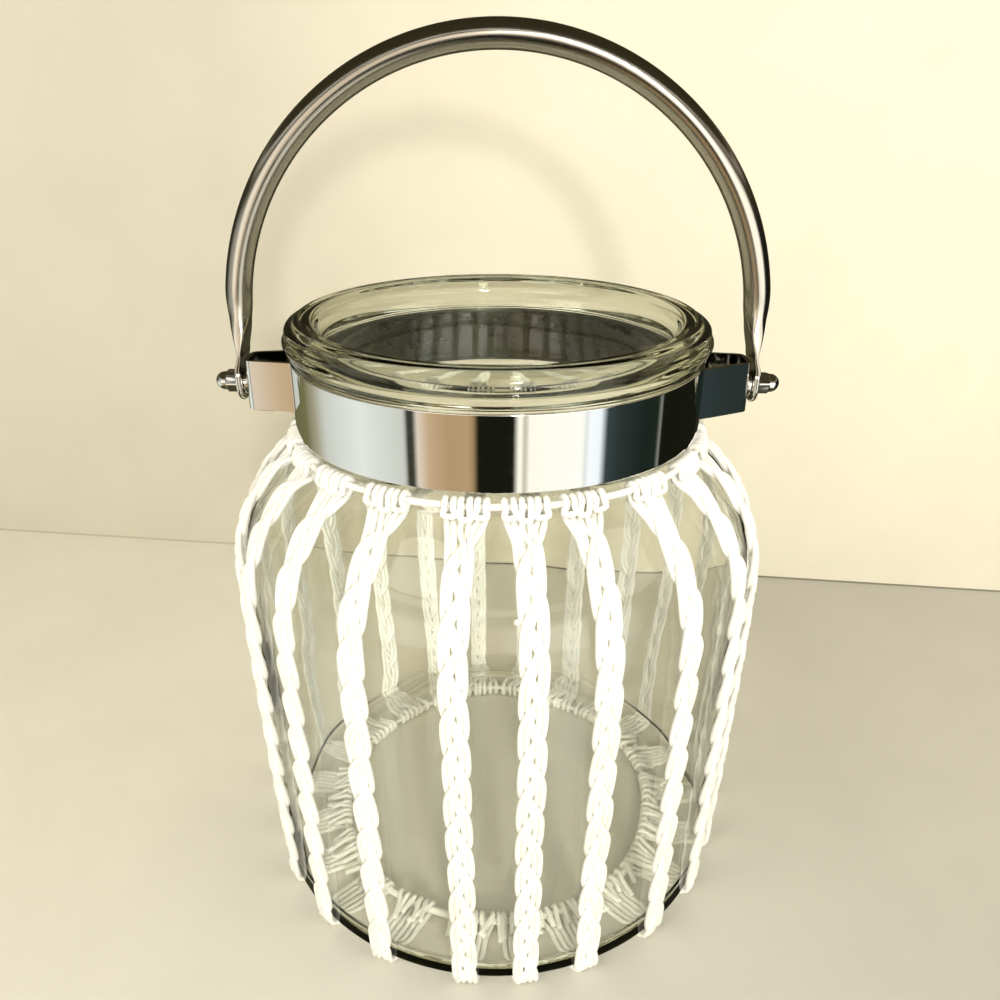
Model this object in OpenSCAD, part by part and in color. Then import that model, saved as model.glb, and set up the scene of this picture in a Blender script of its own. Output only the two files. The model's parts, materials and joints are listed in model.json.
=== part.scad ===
// Hanging lantern: a clear glass jar in a plaited cord sling, with a steel
// band round its neck, two brackets on the band and a swinging tube handle.
// Millimetres. +Z is up, X runs along the handle's pivot, the front is -Y.
// The origin is on the floor under the centre of the jar.

/* [Glass jar] */
// height from the floor to the top of the rim
jar_h = 245; // [241:1:255]
// widest outer radius, at the foot of the shoulder
body_r = 104.8; // [102:0.2:107]
// height of the widest point
body_z = 142; // [135:1:148]
// outer radius just above the heel
heel_r = 102.2; // [100:0.2:103]
// rounding of the heel
heel_round = 2.5; // [2:0.5:5]
// outer radius of the waist under the band
waist_r = 76; // [74:0.2:76.4]
// outer radius of the neck inside the band
neck_r = 78.2; // [77:0.1:79]
// how full the shoulder is
shoulder_power = 2.6; // [2:0.1:3]
// wall thickness
wall_t = 3.6; // [3:0.1:4.2]
// thickness of the floor at the heel
heel_floor_t = 4.6; // [4.2:0.1:5]
// height of the raised middle of the floor above the foot
floor_t = 8; // [7.4:0.2:9]
// how far the underside is hollowed, to clear the knots below it
push_up = 4.2; // [4:0.1:4.6]
// width of the flat foot that the jar stands on
foot_w = 4; // [3:0.5:8]
// radius of the rounded bead of the rim
rim_bead_r = 7.6; // [6.4:0.2:7.8]
// outer radius of the rim
rim_r = 82; // [80:0.5:84]

/* [Neck band] */
// height of the band
band_h = 26.6; // [22:0.2:27]
// thickness of the band's sheet
band_t = 1.2; // [0.8:0.1:1.5]
// how far round the two ends of the band overlap, in degrees
band_lap = 12; // [6:1:20]

/* [Brackets] */
// thickness of the bracket's strip
strip_t = 1.5; // [1:0.1:2]
// height of the strip
strip_h = 20; // [16:0.5:21]
// half of the bracket's length across the pivot, measured to its outer face
bracket_x = 98.5; // [97:0.1:99]
// half width of the outer web
web_half_w = 7.2; // [6.8:0.1:8]
// how much each leg spreads towards the band, in degrees
leg_spread = 10; // [4:1:14]
// the same for the front leg of the right-hand bracket, which is bent out further
front_spread_right = 26; // [4:1:28]
// outer radius of the bends
bend_r = 3; // [2.5:0.1:4]

/* [Handle] */
// outer radius of the tube
tube_r = 5; // [4.5:0.1:5.4]
// wall of the tube
tube_wall = 1; // [0.8:0.1:1.5]
// radius of the arch, to the middle of the tube
arch_r = 99.3; // [98.5:0.1:101]
// height of the arch's centre above the pivot
arch_rise = 22.5; // [21:0.5:30]
// thickness of the flattened end
tab_t = 2.2; // [1.8:0.1:2.4]
// half width of the flattened end
tab_half_w = 7.5; // [6.5:0.1:7.9]
// how far the flattened end is bent inwards over the bracket
tab_lean = 1.2; // [0.8:0.1:1.3]
// length over which the tube flattens
pinch_h = 8; // [6:0.5:9]

/* [Pivot hardware] */
// height of the pivot above the floor
pivot_z = 216.5; // [215:0.5:218]
// radius of the bolt
bolt_r = 2.5; // [2.4:0.05:2.6]
// height of the bolt's head
bolt_head_h = 3.5; // [3:0.1:4]
// width across the flats of the bolt's head and of the nut
hex_flats = 8; // [7.5:0.1:8.5]
// thickness of the spacer washer
washer_t = 1.5; // [1:0.1:1.6]
// outer radius of the spacer washer
washer_r = 5; // [4.5:0.1:6]
// height of the nut's hexagon
nut_hex_h = 5; // [4.5:0.1:5.5]
// radius of the nut's dome
nut_dome_r = 3.6; // [3.4:0.1:3.7]

/* [Cord sling] */
// thickness of a plait on the glass
plait_t = 4.2; // [3.6:0.1:4.6]
// thickness of the cords where they are pressed flat under the heel
under_t = 2.3; // [2.2:0.1:2.6]
// width of a plait
plait_w = 10.5; // [9:0.5:12]
// radius of the ring cord round the neck
ring_cord_r = 1.2; // [1:0.1:1.4]
// thickness of the knotted cord over the ring cord
knot_t = 2.1; // [1.8:0.1:2.2]
// width of one group of knots on the ring
knot_w = 16; // [13:0.5:17]
// directions of the plaits that face the front, in degrees from -Y towards +X
front_dirs = [-60, -44, -26.5, -7, 6.7, 20.5, 39.3, 57];
// outer radius of the cord ring under the base
base_ring_r = 80; // [78:0.5:84]
// width of the cord ring under the base
base_ring_w = 7.5; // [6:0.5:9]

/* [Shown part] */
// one sub-part by name, or all of them

/* [Hidden] */
$fn = 96;
eps = 0.05;

// colours
glass_col = [0.80, 0.84, 0.80, 0.35];
steel_col = [0.78, 0.77, 0.74];
cord_col = [0.96, 0.95, 0.90];

// the glass stands on the cords, which are pressed flat under its heel
lay_gap = 0.08;
glass_z = under_t + 2 * lay_gap;
heel_top_z = glass_z + heel_round;
heel_in_round = 4;
foot_in_r = heel_r - heel_round - foot_w;
raised_r = base_ring_r + 3;
rim_z = jar_h - rim_bead_r;
bead_centre_r = rim_r - rim_bead_r;

// the shoulder ends at the waist, and the neck widens again under the band
shoulder_top_z = 196;
waist_top_z = 199.8;
neck_foot_z = 203.4;
neck_in_r = waist_r - wall_t;

// band and brackets
band_fit = 0.2;
band_z = 204;
band_r = neck_r + band_fit + band_t;
bracket_z = pivot_z - strip_h / 2;
bend_in_r = bend_r - strip_t;
leg_root = 6;
leg_fit = 0.02;
hole_gap = 0.3;
lap_share = 0.8;

// handle
run_gap = 0.1;
pivot_run = 0.06;
tab_in_x = bracket_x + washer_t + run_gap;
tab_x = tab_in_x + tab_t / 2;
arch_z = pivot_z + arch_rise;
tab_bend_h = 5;
tab_top = 12.4;
leg_h = arch_rise - tab_top - pinch_h;
end_plug = 1;

// nut and washer
washer_gap = 0.15;
nut_x = tab_in_x + tab_t + run_gap;
nut_bore_gap = 0.02;
thread_in_nut = 5.5;
bore_over = 0.5;
hex_r = hex_flats / (2 * cos(30));
dome_base = 0.8;

// cord sling
plait_count = 22;
front_count = len(front_dirs);
ring_r = 80.4;
ring_z = 198.6;
knot_r = ring_cord_r + knot_t;
ring_fit = 0.06;
knot_side = 0.8;
knot_drop = 0.55;
strip_top_z = ring_z - 5;
base_ring_gap = 0.4;
full_rise = 30;
curve_steps = 14;

// ---- outlines, as [radius, height] ----

function body_curve(z) =
  heel_r + (body_r - heel_r) * (1 - cos(180 * (z - heel_top_z) / (body_z - heel_top_z))) / 2;

function shoulder_curve(z) =
  let (rise = (z - body_z) / (shoulder_top_z - body_z))
  waist_r + (body_r - waist_r) * (1 - pow(rise, shoulder_power));

function arc(centre, r, from, to, steps) =
  [for (i = [0 : steps]) let (a = from + (to - from) * i / steps)
    [centre[0] + r * cos(a), centre[1] + r * sin(a)]];

function reversed(p) = [for (i = [len(p) - 1 : -1 : 0]) p[i]];

// outward normal of an outline at one of its points
function normal_at(p, i) =
  let (
    a = p[max(i - 1, 0)],
    b = p[min(i + 1, len(p) - 1)],
    t = (b - a) / norm(b - a)
  )
  [t[1], -t[0]];

function grown(p, d) = [for (i = [0 : len(p) - 1]) p[i] + d * normal_at(p, i)];

// thickness of a plait at a height: flat under the heel, full further up
function lay_t(z) = under_t + (plait_t - under_t) * min(1, max(0, z - glass_z) / full_rise);

heel_line = arc([heel_r - heel_round, heel_top_z], heel_round, -90, 0, 8);

body_line = [for (i = [1 : curve_steps])
  let (z = heel_top_z + (body_z - heel_top_z) * i / curve_steps)
  [body_curve(z), z]];

shoulder_line = [for (i = [1 : curve_steps])
  let (z = body_z + (shoulder_top_z - body_z) * i / curve_steps)
  [shoulder_curve(z), z]];

wall_line = concat(body_line, shoulder_line);

// ---- glass and steel ----

module glass_jar() {
  floor_z = glass_z + floor_t;
  heel_in_r = heel_r - wall_t - heel_in_round;
  heel_in_z = glass_z + heel_floor_t + heel_in_round;
  inner = concat(
    [[0, floor_z], [raised_r, floor_z]],
    arc([heel_in_r, heel_in_z], heel_in_round, -90, 0, 6),
    [for (q = grown(wall_line, -wall_t)) if (q[1] > heel_in_z + 1) q]
  );
  color(glass_col)
    rotate_extrude($fn = 180) {
      polygon(concat(
        [[0, glass_z + push_up], [raised_r, glass_z + push_up]],
        [[foot_in_r, glass_z]],
        heel_line,
        wall_line,
        [[waist_r, waist_top_z], [neck_r, neck_foot_z], [neck_r, rim_z]],
        [[neck_in_r, rim_z], [neck_in_r, shoulder_top_z + 1]],
        reversed(inner)
      ));
      translate([bead_centre_r, rim_z])
        circle(r = rim_bead_r, $fn = 72);
    }
}

module collar_band() {
  color(steel_col)
    translate([0, 0, band_z]) {
      linear_extrude(band_h)
        difference() {
          circle(r = band_r, $fn = 180);
          circle(r = band_r - band_t, $fn = 180);
        }
      // the free end of the strip, lapped over the other at the back
      rotate([0, 0, 90 - band_lap / 2])
        rotate_extrude(angle = band_lap, $fn = 180)
          translate([band_r - eps, 0])
            square([band_t * lap_share + eps, band_h]);
    }
}

// outline of the back half of the bent strip, from the web to the band
function half_plan(r, spread) =
  let (
    centre = [bracket_x - bend_r, web_half_w - bend_r],
    bend = arc(centre, r, 0, 90 - spread, 6),
    tip = bend[len(bend) - 1],
    foot_x = band_r - leg_root
  )
  concat(bend, [[foot_x, tip[1] + (tip[0] - foot_x) * tan(spread)]]);

// plan of the bent strip between its outer or its inner faces
module bend_plan(r, front) {
  back_side = half_plan(r, leg_spread);
  front_side = reversed(half_plan(r, front));
  polygon(concat(back_side, [for (p = front_side) [p[0], -p[1]]]));
}

module bracket(front) {
  color(steel_col)
    difference() {
      translate([0, 0, bracket_z])
        linear_extrude(strip_h)
          difference() {
            bend_plan(bend_r, front);
            bend_plan(bend_in_r, front);
            circle(r = band_r + leg_fit, $fn = 180);
          }
      translate([0, 0, pivot_z])
        rotate([0, 90, 0])
          cylinder(r = bolt_r + hole_gap, h = 2 * bracket_x, $fn = 48);
    }
}

module pivot_bolt_right() {
  web_in_x = bracket_x - strip_t;
  color(steel_col)
    translate([web_in_x, 0, pivot_z])
      rotate([0, 90, 0]) {
        translate([0, 0, -bolt_head_h])
          intersection() {
            cylinder(r = hex_r, h = bolt_head_h, $fn = 6);
            cylinder(r1 = hex_flats / 2, r2 = hex_flats, h = bolt_head_h, $fn = 48);
          }
        cylinder(r = bolt_r, h = nut_x + thread_in_nut - web_in_x, $fn = 48);
      }
}

module spacer_washer_right() {
  color(steel_col)
    translate([bracket_x, 0, pivot_z])
      rotate([0, 90, 0])
        linear_extrude(washer_t)
          difference() {
            circle(r = washer_r, $fn = 48);
            circle(r = bolt_r + washer_gap, $fn = 48);
          }
}

module acorn_nut_right() {
  color(steel_col)
    translate([nut_x, 0, pivot_z])
      rotate([0, 90, 0])
        difference() {
          union() {
            intersection() {
              cylinder(r = hex_r, h = nut_hex_h, $fn = 6);
              cylinder(r1 = hex_flats, r2 = hex_flats / 2, h = nut_hex_h, $fn = 48);
            }
            translate([0, 0, nut_hex_h])
              cylinder(r = nut_dome_r, h = dome_base, $fn = 48);
            translate([0, 0, nut_hex_h + dome_base])
              intersection() {
                sphere(r = nut_dome_r, $fn = 48);
                cylinder(r = 2 * nut_dome_r, h = 2 * nut_dome_r, $fn = 48);
              }
          }
          translate([0, 0, -bore_over])
            cylinder(r = bolt_r + nut_bore_gap, h = thread_in_nut + 2 * bore_over, $fn = 48);
        }
}

module tube_end() {
  translate([arch_r, 0, arch_z - leg_h])
    difference() {
      cylinder(r = tube_r, h = leg_h);
      translate([0, 0, end_plug])
        cylinder(r = tube_r - tube_wall, h = leg_h);
    }
  // the stretch where the tube is squeezed flat
  hull() {
    translate([arch_r, 0, arch_z - leg_h - eps])
      cylinder(r = tube_r, h = eps * 2, $fn = 32);
    translate([tab_in_x - tab_lean, -tab_half_w, pivot_z + tab_top])
      cube([tab_t, 2 * tab_half_w, eps]);
  }
  // the flat end: its section across the pivot, and its outline with the bolt's hole
  intersection() {
    translate([0, 0, pivot_z])
      rotate([90, 0, 0])
        linear_extrude(4 * tab_half_w, center = true)
          polygon([
            [tab_in_x, -2 * tab_half_w],
            [tab_in_x + tab_t, -2 * tab_half_w],
            [tab_in_x + tab_t, tab_bend_h],
            [tab_in_x + tab_t - tab_lean, tab_top + eps],
            [tab_in_x - tab_lean, tab_top + eps],
            [tab_in_x, tab_bend_h]
          ]);
    translate([arch_r - tube_r, 0, pivot_z])
      rotate([90, 0, 90])
        linear_extrude(2 * tube_r)
          difference() {
            union() {
              circle(r = tab_half_w);
              translate([-tab_half_w, 0])
                square([2 * tab_half_w, 2 * tab_top]);
            }
            circle(r = bolt_r + pivot_run, $fn = 48);
          }
  }
}

module bail_handle() {
  color(steel_col) {
    translate([0, 0, arch_z])
      rotate([90, 0, 0])
        rotate_extrude(angle = 180, $fn = 180)
          translate([arch_r, 0])
            difference() {
              circle(r = tube_r, $fn = 48);
              circle(r = tube_r - tube_wall, $fn = 48);
            }
    for (side = [0, 1])
      mirror([side, 0, 0])
        tube_end();
  }
}

// ---- cord sling ----

module neck_ring_cord() {
  color(cord_col)
    rotate_extrude($fn = 120)
      translate([ring_r, ring_z])
        circle(r = ring_cord_r, $fn = 24);
}

module base_ring_cord() {
  color(cord_col)
    rotate_extrude($fn = 120)
      translate([base_ring_r - base_ring_w, 0])
        square([base_ring_w, glass_z + push_up - base_ring_gap]);
}

// one plait: its knots round the ring cord, then a flat strip that follows
// the glass down and under the heel to the ring below the base
module braid(i) {
  last_front = front_dirs[front_count - 1];
  back_step = (360 - last_front + front_dirs[0]) / (plait_count - front_count + 1);
  dir = i <= front_count ? front_dirs[i - 1] : last_front + (i - front_count) * back_step;
  under = [[base_ring_r + lay_gap, glass_z]];
  path = concat(under, heel_line, wall_line);
  strip = [for (q = grown(path, lay_gap)) if (q[1] < strip_top_z) q];
  cover = [for (k = [0 : len(path) - 1])
    let (q = path[k] + (lay_gap + lay_t(path[k][1])) * normal_at(path, k))
    if (q[1] < strip_top_z) q];
  neck_end = [
    [ring_r - knot_r * knot_side, ring_z - knot_r * knot_drop],
    [ring_r + knot_r * knot_side, ring_z - knot_r * knot_drop]
  ];
  color(cord_col)
    rotate([0, 0, dir - 90]) {
      rotate([90, 0, 0])
        linear_extrude(plait_w, center = true)
          polygon(concat(strip, neck_end, reversed(cover)));
      rotate([0, 0, -knot_w / ring_r * 90 / PI])
        rotate_extrude(angle = knot_w / ring_r * 180 / PI, $fn = 120)
          translate([ring_r, ring_z])
            difference() {
              circle(r = knot_r, $fn = 32);
              circle(r = ring_cord_r + ring_fit, $fn = 24);
            }
    }
}

// ---- left-hand pieces ----

module left() {
  mirror([1, 0, 0])
    children();
}

// ---- assembly ----

glass_jar();
collar_band();
left() bracket(leg_spread);  // bracket_left
bracket(front_spread_right);  // bracket_right
left() pivot_bolt_right();  // pivot_bolt_left
pivot_bolt_right();
left() spacer_washer_right();  // spacer_washer_left
spacer_washer_right();
left() acorn_nut_right();  // acorn_nut_left
acorn_nut_right();
bail_handle();
neck_ring_cord();
base_ring_cord();
braid(1);  // braid_01
braid(2);  // braid_02
braid(3);  // braid_03
braid(4);  // braid_04
braid(5);  // braid_05
braid(6);  // braid_06
braid(7);  // braid_07
braid(8);  // braid_08
braid(9);  // braid_09
braid(10);  // braid_10
braid(11);  // braid_11
braid(12);  // braid_12
braid(13);  // braid_13
braid(14);  // braid_14
braid(15);  // braid_15
braid(16);  // braid_16
braid(17);  // braid_17
braid(18);  // braid_18
braid(19);  // braid_19
braid(20);  // braid_20
braid(21);  // braid_21
braid(22);  // braid_22
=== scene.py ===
import json
import math
import bpy
import numpy as np
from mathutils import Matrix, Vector


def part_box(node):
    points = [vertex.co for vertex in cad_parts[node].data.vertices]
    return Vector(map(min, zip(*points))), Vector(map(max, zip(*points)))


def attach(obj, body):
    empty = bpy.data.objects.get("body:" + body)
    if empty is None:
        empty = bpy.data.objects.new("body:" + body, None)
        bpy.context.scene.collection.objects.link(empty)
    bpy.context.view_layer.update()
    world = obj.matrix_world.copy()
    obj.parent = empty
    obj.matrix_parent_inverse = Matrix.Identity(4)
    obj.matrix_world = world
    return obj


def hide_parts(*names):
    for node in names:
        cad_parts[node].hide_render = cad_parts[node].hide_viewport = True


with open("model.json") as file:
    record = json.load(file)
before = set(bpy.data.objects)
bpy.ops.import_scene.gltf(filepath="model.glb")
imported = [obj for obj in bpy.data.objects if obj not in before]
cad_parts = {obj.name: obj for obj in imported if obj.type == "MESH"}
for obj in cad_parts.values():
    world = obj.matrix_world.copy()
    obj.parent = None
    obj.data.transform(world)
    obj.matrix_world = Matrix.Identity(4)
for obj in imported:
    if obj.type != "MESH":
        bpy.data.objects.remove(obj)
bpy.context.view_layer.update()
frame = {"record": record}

MM = 0.001
rng = np.random.default_rng(7)

# ---------------------------------------------------------------- sizes, in millimetres


def box_mm(node):
    low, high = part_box(node)
    return np.array(low) / MM, np.array(high) / MM


jar_low, jar_high = box_mm("glass_jar")
band_low, band_high = box_mm("collar_band")
ring_low, ring_high = box_mm("neck_ring_cord")
_, base_high = box_mm("base_ring_cord")
_, bail_high = box_mm("bail_handle")
bracket_low, bracket_high = box_mm("bracket_right")
washer_low, washer_high = box_mm("spacer_washer_right")
nut_low, nut_high = box_mm("acorn_nut_right")
bolt_low, bolt_high = box_mm("pivot_bolt_right")
PIVOT_Z = frame["record"]["behaviour"]["joints"][0]["pos_m"][2] / MM
BAND_R = -band_low[0]

# glass: the jar stands on the cords under it, so its foot is at GLASS_Z
GLASS_Z = jar_low[2]
JAR_TOP = jar_high[2]
BODY_R = jar_high[0]
BODY_Z = 142.0
HEEL_R = 102.2
HEEL_ROUND = 2.5
WAIST_R = 76.0
NECK_R = 78.2
WALL = 3.6
HEEL_FLOOR = 4.6
FLOOR = 8.0
PUSH_UP = 4.2
FOOT_IN_R = HEEL_R - HEEL_ROUND - 4.0
BEAD_R = 7.6
RIM_R = 82.0
SHOULDER_TOP = 196.0
SHOULDER_POWER = 2.6
INSIDE_TOP = 193.2
FLAT_MIDDLE_R = 40.0
CENTRE_R = 1.0

# cords
CORD_D = 2.2
RING_CORD_R = (ring_high[2] - ring_low[2]) / 2
RING_R = ring_high[0] - RING_CORD_R
RING_Z = (ring_high[2] + ring_low[2]) / 2
RING_RISE = 1.1
RING_RISE_DIR = 8.0
BASE_RING_R = base_high[0] - 3.8
BASE_RING_Z = 3.3
BASE_CORD_R = 1.0
# directions of the front plaits, in degrees from -Y towards +X
FRONT_DIRS = [-60, -44, -26.5, -7, 6.7, 20.5, 39.3, 57]
BRAIDS = 22
PLAIT_PERIOD = 50.0
PLAIT_SWING = 3.05
PLAIT_THICK = 4.3
HEADS = 3
HEAD_PITCH = 5.3
# where the six cords hang under the knots, how far down they gather into the plait,
# and how far apart they run under the base
HANG = [-6.45, -4.15, -1.15, 1.15, 4.15, 6.45]
V_LENGTH = 10.0
UNDER_PITCH = 2.45
LAY_STEP = 1.6

TAU = 2 * math.pi


# ---------------------------------------------------------------- mesh helpers

def encloses(verts, faces):
    """Six times the volume that the faces enclose, below zero when they face inwards."""
    total = 0.0
    for face in faces:
        corners = verts[list(face)]
        total += np.einsum("ij,ij->", np.cross(corners[1:-1], corners[2:]),
                           np.broadcast_to(corners[0], corners[1:-1].shape))
    return total


def make_object(name, verts, faces, material, smooth=True, uvs=None):
    """A mesh object from millimetres. Without UVs, its faces are turned to face outwards."""
    verts = np.asarray(verts)
    if uvs is None and encloses(verts, faces) < 0:
        faces = [tuple(f)[::-1] for f in faces]
    mesh = bpy.data.meshes.new(name)
    mesh.from_pydata([tuple(v) for v in verts * MM], [], [tuple(f) for f in faces])
    mesh.update()
    if smooth:
        mesh.polygons.foreach_set("use_smooth", [True] * len(mesh.polygons))
    if uvs is not None:
        layer = mesh.uv_layers.new(name="UVMap")
        layer.data.foreach_set("uv", np.asarray(uvs, dtype=np.float32).ravel())
    ob = bpy.data.objects.new(name, mesh)
    bpy.context.scene.collection.objects.link(ob)
    mesh.materials.append(material)
    return ob


def grid_faces(rows, cols, wrap_rows, wrap_cols):
    """Quads between rows of cols points each."""
    i = np.arange(rows if wrap_rows else rows - 1)
    j = np.arange(cols if wrap_cols else cols - 1)
    i, j = np.meshgrid(i, j, indexing="ij")
    i2, j2 = (i + 1) % rows, (j + 1) % cols
    quads = np.stack([i * cols + j, i * cols + j2, i2 * cols + j2, i2 * cols + j], -1)
    return quads.reshape(-1, 4)


def revolve(name, profile, segments, material, wave=None, closed=True):
    """Turns an outline of [radius, height] points round Z.

    wave(angle, height, index) may move the radius."""
    profile = np.asarray(profile, float)
    angles = np.arange(segments) / segments * TAU
    radius = np.repeat(profile[None, :, 0], segments, 0)
    if wave is not None:
        radius = radius + wave(angles[:, None], profile[None, :, 1], np.arange(len(profile))[None, :])
    x = radius * np.cos(angles)[:, None]
    y = radius * np.sin(angles)[:, None]
    z = np.repeat(profile[None, :, 1], segments, 0)
    verts = np.stack([x, y, z], -1).reshape(-1, 3)
    faces = [tuple(f) for f in grid_faces(segments, len(profile), True, closed)]
    if not closed:
        first = np.arange(segments) * len(profile)
        faces += [tuple(first), tuple(first[::-1] + len(profile) - 1)]
    return make_object(name, verts, faces, material)


def arc(cx, cy, r, a0, a1, steps):
    """Points on a circle's arc between two angles in degrees."""
    a = np.radians(np.linspace(a0, a1, steps + 1))
    return np.stack([cx + r * np.cos(a), cy + r * np.sin(a)], -1)


def ease(value, start, end):
    """0 up to start, 1 from end on, and a smooth step between them."""
    k = np.clip((value - start) / (end - start), 0, 1)
    return k * k * (3 - 2 * k)


def catmull(points, step):
    """A smooth curve through the points, with a point about every step."""
    p = np.asarray(points, float)
    p = np.vstack([2 * p[0] - p[1], p, 2 * p[-1] - p[-2]])
    out = []
    for i in range(1, len(p) - 2):
        n = max(1, int(round(np.linalg.norm(p[i + 1] - p[i]) / step)))
        t = (np.arange(n) / n)[:, None]
        a, b, c, d = p[i - 1], p[i], p[i + 1], p[i + 2]
        out.append(0.5 * (2 * b + (c - a) * t + (2 * a - 5 * b + 4 * c - d) * t ** 2
                          + (3 * b - a - 3 * c + d) * t ** 3))
    out.append(p[-2][None])
    return np.vstack(out)


def tube_uvs(along, sides):
    """UVs of a tube's quads: the distance along it in millimetres, and the share of a turn round it."""
    uvs = []
    for here, there in zip(along[:-1], along[1:]):
        for j in range(sides):
            uvs += [(here, j / sides), (here, (j + 1) / sides),
                    (there, (j + 1) / sides), (there, j / sides)]
    return uvs


def sweep(path, radius, sides, close_loop=False):
    """Vertices, faces and UVs of a round cord along a path. radius may differ by point."""
    path = np.asarray(path, float)
    n = len(path)
    if close_loop:
        tangent = np.roll(path, -1, 0) - np.roll(path, 1, 0)
    else:
        tangent = np.gradient(path, axis=0)
    tangent /= np.linalg.norm(tangent, axis=1)[:, None]
    side = np.cross(tangent[0], [0.0, 0.0, 1.0])
    if np.linalg.norm(side) < 0.2:
        side = np.cross(tangent[0], [1.0, 0.0, 0.0])
    normals = np.zeros_like(path)
    for i in range(n):
        side = side - tangent[i] * np.dot(side, tangent[i])
        side /= np.linalg.norm(side)
        normals[i] = side
    binormals = np.cross(tangent, normals)
    a = np.arange(sides) / sides * TAU
    r = np.broadcast_to(np.asarray(radius, float), (n,))
    ring = (normals[:, None, :] * np.cos(a)[None, :, None]
            + binormals[:, None, :] * np.sin(a)[None, :, None])
    verts = (path[:, None, :] + ring * r[:, None, None]).reshape(-1, 3)
    faces = [tuple(f) for f in grid_faces(n, sides, close_loop, True)]
    gaps = np.linalg.norm(np.diff(path, axis=0), axis=1)
    along = np.concatenate([[0], np.cumsum(gaps)])
    if close_loop:
        along = np.append(along, along[-1] + np.linalg.norm(path[0] - path[-1]))
    uvs = tube_uvs(along, sides)
    if not close_loop:
        first = tuple(range(sides))[::-1]
        last = tuple(range((n - 1) * sides, n * sides))
        faces += [first, last]
        uvs += [(along[0], 0.5)] * sides + [(along[-1], 0.5)] * sides
    return verts, faces, uvs


def join_parts(parts):
    """One list of vertices, faces and UVs out of several."""
    verts, faces, uvs, base = [], [], [], 0
    for v, f, u in parts:
        verts.append(v)
        faces += [tuple(int(k) + base for k in face) for face in f]
        uvs += u
        base += len(v)
    return np.vstack(verts), faces, uvs


# ---------------------------------------------------------------- materials

def new_material(name):
    m = bpy.data.materials.new(name)
    m.use_nodes = True
    nodes = m.node_tree.nodes
    nodes.clear()
    out = nodes.new("ShaderNodeOutputMaterial")
    bsdf = nodes.new("ShaderNodeBsdfPrincipled")
    m.node_tree.links.new(bsdf.outputs["BSDF"], out.inputs["Surface"])
    return m, m.node_tree, bsdf, out


def noise_node(tree, vector, scale, detail=3.0, rough=0.5):
    n = tree.nodes.new("ShaderNodeTexNoise")
    n.inputs["Scale"].default_value = scale
    n.inputs["Detail"].default_value = detail
    n.inputs["Roughness"].default_value = rough
    tree.links.new(vector, n.inputs["Vector"])
    return n.outputs["Fac"]


def stretched(tree, source, scale):
    """Coordinates scaled by axis, for a grain that runs one way."""
    m = tree.nodes.new("ShaderNodeMapping")
    m.inputs["Scale"].default_value = scale
    tree.links.new(source, m.inputs["Vector"])
    return m.outputs["Vector"]


def ramp(tree, fac, stops):
    """A colour ramp with stops of (position, colour)."""
    r = tree.nodes.new("ShaderNodeValToRGB")
    e = r.color_ramp.elements
    e[0].position, e[0].color = stops[0][0], stops[0][1]
    e[1].position, e[1].color = stops[-1][0], stops[-1][1]
    for pos, col in stops[1:-1]:
        k = e.new(pos)
        k.color = col
    tree.links.new(fac, r.inputs["Fac"])
    return r.outputs["Color"]


def grey(v):
    return (v, v, v, 1)


def bump(tree, height, strength, distance):
    b = tree.nodes.new("ShaderNodeBump")
    b.inputs["Strength"].default_value = strength
    b.inputs["Distance"].default_value = distance
    tree.links.new(height, b.inputs["Height"])
    return b.outputs["Normal"]


def math_node(tree, operation, first, second=None, third=None):
    """A maths node whose inputs are numbers or sockets."""
    n = tree.nodes.new("ShaderNodeMath")
    n.operation = operation
    for socket, value in zip(n.inputs, (first, second, third)):
        if value is None:
            continue
        if isinstance(value, (int, float)):
            socket.default_value = value
        else:
            tree.links.new(value, socket)
    return n.outputs[0]


def blend_colours(tree, fac, first, second):
    """The first colour where fac is 0 and the second where it is 1."""
    n = tree.nodes.new("ShaderNodeMix")
    n.data_type = "RGBA"
    for socket, value in ((n.inputs[0], fac), (n.inputs[6], first), (n.inputs[7], second)):
        if isinstance(value, (float, tuple)):
            socket.default_value = value
        else:
            tree.links.new(value, socket)
    return n.outputs[2]


def step_up(tree, value, start, end):
    """0 below start, 1 above end."""
    n = tree.nodes.new("ShaderNodeMapRange")
    n.interpolation_type = "SMOOTHSTEP"
    n.inputs["From Min"].default_value = start
    n.inputs["From Max"].default_value = end
    tree.links.new(value, n.inputs["Value"])
    return n.outputs["Result"]


def steel_material(name, rough_low, rough_high, stretch, colour=(0.80, 0.79, 0.76, 1)):
    m, tree, bsdf, _ = new_material(name)
    coords = tree.nodes.new("ShaderNodeTexCoord").outputs["Object"]
    bsdf.inputs["Base Color"].default_value = colour
    bsdf.inputs["Metallic"].default_value = 1.0
    fine = noise_node(tree, stretched(tree, coords, stretch), 1.0, 4.0, 0.6)
    broad = noise_node(tree, coords, 40.0, 3.0, 0.5)
    both = math_node(tree, "MULTIPLY_ADD", broad, 0.35, fine)
    rough = ramp(tree, both, [(0.40, grey(rough_low)), (0.85, grey(rough_high))])
    tree.links.new(rough, bsdf.inputs["Roughness"])
    tree.links.new(bump(tree, fine, 0.06, 0.0001), bsdf.inputs["Normal"])
    return m


def handle_steel():
    """Duller steel, with fine brush lines along the tube."""
    m, tree, bsdf, _ = new_material("handle_steel")
    uv = tree.nodes.new("ShaderNodeUVMap")
    uv.uv_map = "UVMap"
    bsdf.inputs["Base Color"].default_value = (0.46, 0.43, 0.37, 1)
    bsdf.inputs["Metallic"].default_value = 1.0
    lines = noise_node(tree, stretched(tree, uv.outputs["UV"], (0.03, 130.0, 1.0)), 1.0, 5.0, 0.65)
    rough = ramp(tree, lines, [(0.35, grey(0.10)), (0.70, grey(0.26))])
    tree.links.new(rough, bsdf.inputs["Roughness"])
    tree.links.new(bump(tree, lines, 0.12, 0.0001), bsdf.inputs["Normal"])
    return m


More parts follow.
